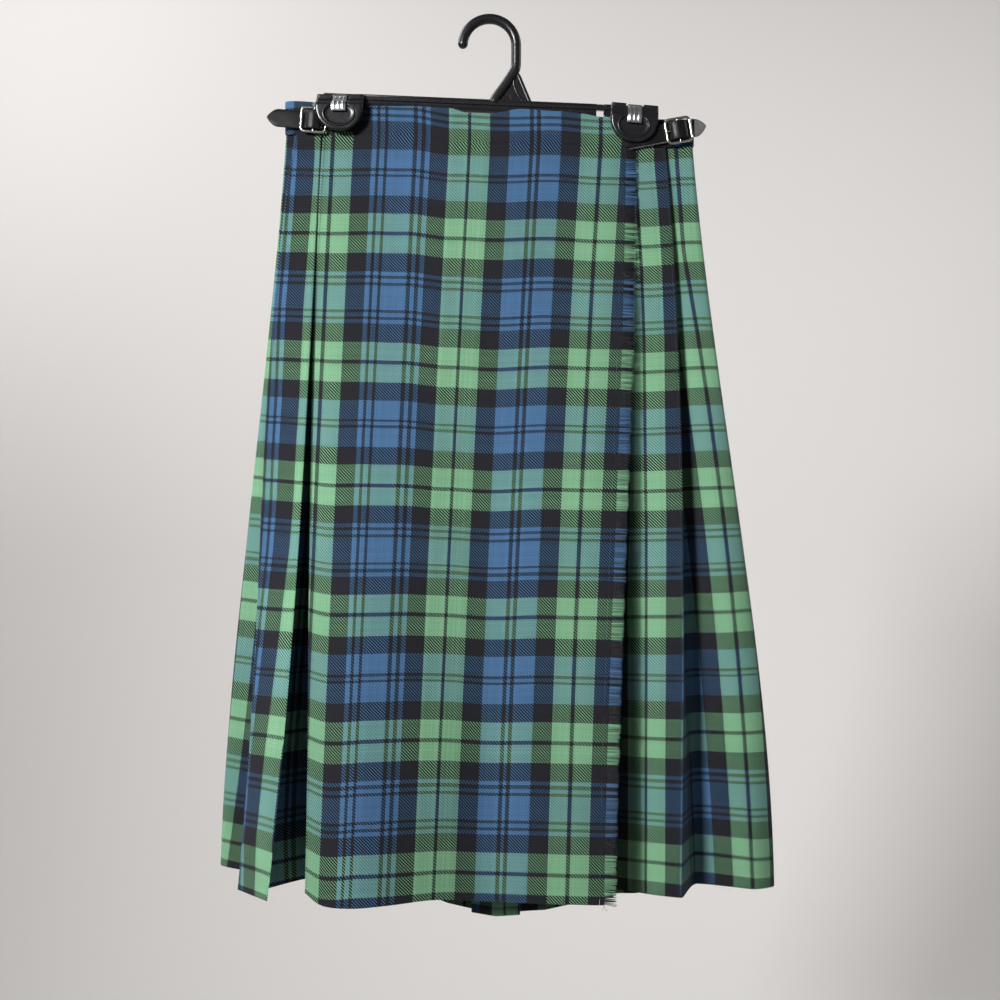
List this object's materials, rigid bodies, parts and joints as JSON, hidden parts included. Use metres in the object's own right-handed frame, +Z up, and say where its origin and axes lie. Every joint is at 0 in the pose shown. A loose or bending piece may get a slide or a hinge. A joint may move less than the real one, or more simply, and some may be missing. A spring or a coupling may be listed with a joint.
{
  "type": "scottish kilt on a clip hanger",
  "caption": "Wrap skirt of tartan wool twill with a fringed apron, knife pleats behind and buckled side straps, held on a plastic clip hanger.",
  "frame": {"origin": "highest point inside the hanger's hook, where a rail carries it", "axes": "+X to the viewer's right across the front, -Y out of the front of the kilt, +Z up"},
  "size_m": [0.5206, 0.1477, 0.8243],
  "materials": {
    "tartan_cloth": "woven wool twill, matt",
    "strap_leather": "black, semi-gloss, worn at the tips",
    "buckle_nickel": "nickel plate, polished",
    "hanger_plastic": "black, glossy",
    "clip_steel": "galvanised spring steel"
  },
  "bodies": {
    "root": {"outer_apron": "tartan_cloth", "left_pleats": "tartan_cloth", "back_pleats": "tartan_cloth", "right_pleats": "tartan_cloth", "under_apron": "tartan_cloth", "apron_fringe": "tartan_cloth", "waistband_outer": "tartan_cloth", "waistband_under": "tartan_cloth", "waistband_back": "tartan_cloth", "strap_right": "strap_leather", "strap_left": "strap_leather", "buckle_tab_right": "strap_leather", "buckle_tab_left": "strap_leather", "buckle_right": "buckle_nickel", "buckle_left": "buckle_nickel", "prong_right": "buckle_nickel", "prong_left": "buckle_nickel", "hanger": "hanger_plastic", "clip_left_front": "hanger_plastic", "clip_left_back": "hanger_plastic", "clip_left_spring": "clip_steel", "clip_right_front": "hanger_plastic", "clip_right_back": "hanger_plastic", "clip_right_spring": "clip_steel"}
  },
  "joints": []
}
